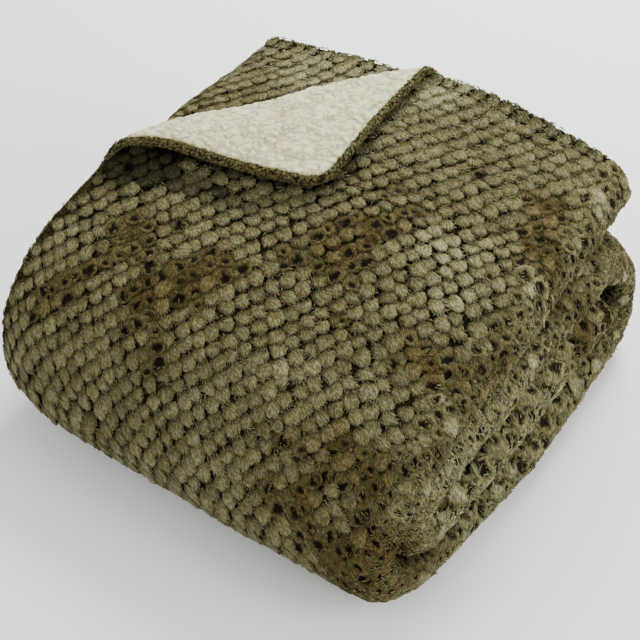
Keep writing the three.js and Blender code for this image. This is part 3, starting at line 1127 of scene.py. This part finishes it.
def loose_pile(a, b, shaggy, rng):
    """Loose hairs that stray over the tufts and blur their outlines, more on shaggy ones."""
    raised = 2.6
    tufts = np.repeat(np.arange(len(a)), np.rint(4 + 4 * shaggy).astype(int))
    a = a[tufts] + rng.uniform(-7, 7, len(tufts))
    b = b[tufts] + rng.uniform(-6, 6, len(tufts))
    shaggy = shaggy[tufts]
    # Painted light: the shaggy hairs of the crests and the back are paler, as if lit from behind
    nap_and_light = pile_nap_and_light(face_place(a, b, raised)) + 0.4 * shaggy
    heading = COMBED_HEADING + rng.normal(0, 0.6, len(a))
    stretch = rng.uniform(0.7, 1.2, (len(a), 3)) * mixed(1, 1.25, shaggy)[:, None]
    shade = np.clip(rng.normal(0.8, 0.25, len(a)), 0, 1)
    hairs = form_family(
        "hairs", 6, loose_form, hairs=4, scatter=2.2, length=3.2, radius=0.6, material=PLUSH,
    )
    return planted("loose_pile", a, b, heading, stretch, shade, nap_and_light, hairs, 9, raised)


def hem_pile(solid):
    """Short knobbly pile along the hems that open air reaches, densest on the turned corner."""
    row_pitch, knob_pitch = 2.2, 2.5
    rng = np.random.default_rng(5)
    spots = []
    for ring in np.arange(-HEM_CUT + 1.2, 0, row_pitch):
        for axis in (0, 1):
            run = np.arange(HEM_CUT, FACE_CUT[axis] - HEM_CUT, knob_pitch)
            run = run + rng.uniform(-0.9, 0.9, len(run))
            for side in (HEM_CUT + ring, FACE_CUT[1 - axis] - HEM_CUT - ring):
                across = side + rng.uniform(-0.7, 0.7, len(run))
                spots.append(np.stack([(run, across), (across, run)][axis]))
    a, b = np.concatenate(spots, 1)
    turned = past_fold_line(a, b) > -40
    kept = turned | (rng.random(len(a)) < 0.4)
    a, b, turned = a[kept], b[kept], turned[kept]
    point, outward, _, _ = surface_frame(a, b, 2.0)
    seen = exposure(point, outward, solid) > LEAST_AIR
    a, b, turned = a[seen], b[seen], turned[seen]
    heading = rng.uniform(0, math.tau, len(a))
    stretch = rng.uniform(0.7, 1.3, (len(a), 3)) * np.where(turned, 1, 1.6)[:, None]
    shade = np.clip(rng.normal(0.5, 0.3, len(a)), 0, 1)
    small = form_family(
        "knob", 6, tuft_form, size=(1.7, 1.4, 1.2), sides=5, locks=3, lock=(1.5, 0.6),
        material=HEM_PILE,
    )
    return planted("hem_pile", a, b, heading, stretch, shade, np.zeros(len(a)), small, 3)


# The backing. How wide and how high its curls and its other unevenness are, at which layer of the
# noise each lies, and how far all of it sinks into the cloth
CURLY = dict(pitch=5.6, height=1.7, layer=3)
SMALL = dict(pitch=2.6, height=0.4, layer=4)
WIDE = dict(pitch=17.0, height=1.1, layer=2)
CURL_SINK = 0.6


def curls(u, v):
    """How high the fleece stands at each place: its curls and its own soft unevenness."""
    height = np.empty(len(u))
    for number, (x, y) in enumerate(zip(u, v)):
        curly, small, wide = (
            noise.noise(Vector((x, y, kind["layer"])) / kind["pitch"])
            for kind in (CURLY, SMALL, WIDE)
        )
        height[number] = (
            CURLY["height"] * abs(curly) ** 0.7 + SMALL["height"] * small + WIDE["height"] * wide
        )
    return height


def backing_place(u, v, raised=0):
    """Where points of the backing lie: its edge sinks under the hem, and its corner is round."""
    edge = np.minimum(np.minimum(u, v), np.minimum(ACROSS["length"] - u, ALONG["length"] - v))
    loft = mixed(BACKING_EDGE_LOFT, BACKING_LOFT, smooth(edge, *BACKING_SLOPE))
    radius = CORNER["tip_radius"]
    from_u, from_v = radius - u, radius - v
    rounded = (from_u > 0) & (from_v > 0)
    drawn = np.maximum(from_u, from_v) / np.maximum(np.hypot(from_u, from_v), 1e-6)
    return placed(
        np.where(rounded, radius - from_u * drawn, u), np.where(rounded, radius - from_v * drawn, v),
        loft - raised,
    )


def on_top(u, v):
    return (u < ACROSS["top_run"]) & (v < ALONG["top_run"])


def backing_cloth():
    """The fleece, finely divided where the turned-back corner shows it."""
    bm = flat_sheet(*sheet_lines([BACKING_INSET, 4.6, 6, 8, 11], longest=13, margin=14))
    for longest in (8, 4, 2):
        chosen = []
        for face in bm.faces:
            middle = face.calc_center_median()
            shown = past_fold_line(middle.x, middle.y) > -8 and on_top(middle.x, middle.y)
            if shown and max(edge.calc_length() for edge in face.edges) > longest:
                chosen.append(face)
        divided(bm, chosen)
    u, v, _ = flat_places(bm)
    shown = (past_fold_line(u, v) > -12) & on_top(u, v)
    height = np.zeros(len(u))
    height[shown] = curls(u[shown], v[shown])
    return finished("fleece_cloth", bm, backing_place(u, v, height - CURL_SINK), FLEECE)


face, face_solid = face_cloth()
tufts = popcorn(face_solid)
hem = hem_pile(face_solid)
fleece = backing_cloth()

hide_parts("face_panel")
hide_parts("backing_panel")
for piece in [face, fleece, hem] + tufts:
    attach(piece, "root")


# The room: a plain pale floor, soft lights, and the camera
def floor():
    bm = bmesh.new()
    bmesh.ops.create_grid(bm, x_segments=1, y_segments=1, size=4)
    material, _, _ = new_finish(
        "pale_floor", {"Base Color": (0.93, 0.93, 0.93, 1), "Roughness": 0.9}
    )
    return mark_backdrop(in_scene("floor", mesh_of(bm, "floor", material)))


# Where the lights point
LIT_PLACE = Vector((0, 0, 0.08))


def area_light(name, place, size, power, colour=(1, 1, 1)):
    light = bpy.data.lights.new(name, "AREA")
    light.shape = "DISK"
    light.size = size
    light.energy = power
    light.color = colour
    lamp = in_scene(name, light)
    lamp.location = place
    lamp.rotation_euler = (LIT_PLACE - Vector(place)).to_track_quat("-Z", "Y").to_euler()


floor()
area_light("key", (-0.3, 1.4, 1.2), 0.8, 54, (1, 0.99, 0.95))
area_light("right", (1.6, 0.3, 0.8), 1.1, 26)
area_light("front", (-1.1, -1.1, 0.9), 1.2, 11)

world = bpy.data.worlds.new("soft_room")
world.use_nodes = True
background = world.node_tree.nodes["Background"]
background.inputs["Color"].default_value = (1, 0.995, 0.97, 1)
background.inputs["Strength"].default_value = 0.93
bpy.context.scene.world = world

# The camera stands where the photograph was taken from, its focal length in the picture's pixels
AZIMUTH = 35
ELEVATION = 45
DISTANCE = 1.134
TARGET = Vector((0.0044, -0.0134, 0.0632))
FOCAL_LENGTH = 1500
PICTURE_WIDTH = 640
camera_data = bpy.data.cameras.new("camera")
camera_data.sensor_width = 36
camera_data.lens = camera_data.sensor_width * FOCAL_LENGTH / PICTURE_WIDTH
camera = in_scene("camera", camera_data)
camera.rotation_euler = (math.radians(90 - ELEVATION), 0, math.radians(AZIMUTH))
camera.location = TARGET + camera.rotation_euler.to_matrix() @ Vector((0, 0, DISTANCE))
bpy.context.scene.camera = camera
